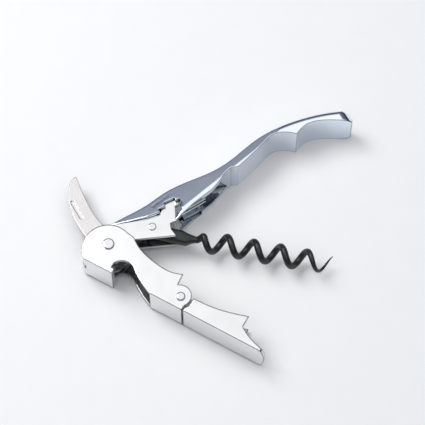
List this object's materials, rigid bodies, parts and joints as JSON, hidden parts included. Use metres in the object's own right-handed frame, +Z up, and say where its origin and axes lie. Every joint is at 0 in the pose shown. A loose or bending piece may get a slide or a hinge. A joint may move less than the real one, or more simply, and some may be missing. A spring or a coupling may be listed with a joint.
{
  "type": "waiters corkscrew",
  "caption": "Double-lever waiter's corkscrew with a finger-grip handle, coated worm, hooked foil blade and a cap-lifter head, opened flat.",
  "frame": {"origin": "middle of the footprint, on the surface that the opened corkscrew lies on", "axes": "+Z up out of the surface and along every pivot; the handle points 30 degrees up from +X, the levers 30 degrees down from it"},
  "size_m": [0.1118, 0.1046, 0.0146],
  "materials": {
    "handle_chrome": "polished",
    "satin_steel": "satin",
    "lever_steel": "satin",
    "blade_steel": "satin",
    "rivet_steel": "polished",
    "spring_steel": "plain",
    "black_coating": "satin"
  },
  "bodies": {
    "handle": {"handle_casting": "handle_chrome", "near_cheek": "satin_steel", "far_cheek": "satin_steel", "back_spring": "spring_steel", "spring_pin": "spring_steel", "head_rivet": "rivet_steel", "worm_pin": "rivet_steel", "blade_spacers": "rivet_steel"},
    "first_lever_link": {"first_lever": "lever_steel", "lever_hinge_rivet": "rivet_steel"},
    "second_lever_link": {"second_lever": "lever_steel"},
    "foil_blade": {"blade": "blade_steel"},
    "screw": {"worm": "black_coating"}
  },
  "joints": [
    {"name": "lever_fold", "type": "hinge", "parent": "handle", "child": "first_lever_link", "pos_m": [-0.03928, -0.00705, 0.0073], "axis": [0, 0, 1], "range_deg": [-60, 60]},
    {"name": "boot_fold", "type": "hinge", "parent": "first_lever_link", "child": "second_lever_link", "pos_m": [-0.01162, -0.02914, 0.0073], "axis": [0, 0, 1], "range_deg": [0, 4]},
    {"name": "worm_fold", "type": "hinge", "parent": "handle", "child": "screw", "pos_m": [-0.02281, 0.00142, 0.0073], "axis": [0, 0, 1], "range_deg": [-41.7, 41.7]},
    {"name": "blade_fold", "type": "hinge", "parent": "handle", "child": "foil_blade", "pos_m": [-0.03928, -0.00705, 0.0073], "axis": [0, 0, 1], "range_deg": [-73, 0]}
  ],
  "couplings": [
    {"joint": "worm_fold", "follows": "lever_fold", "ratio": 0.69167}
  ]
}
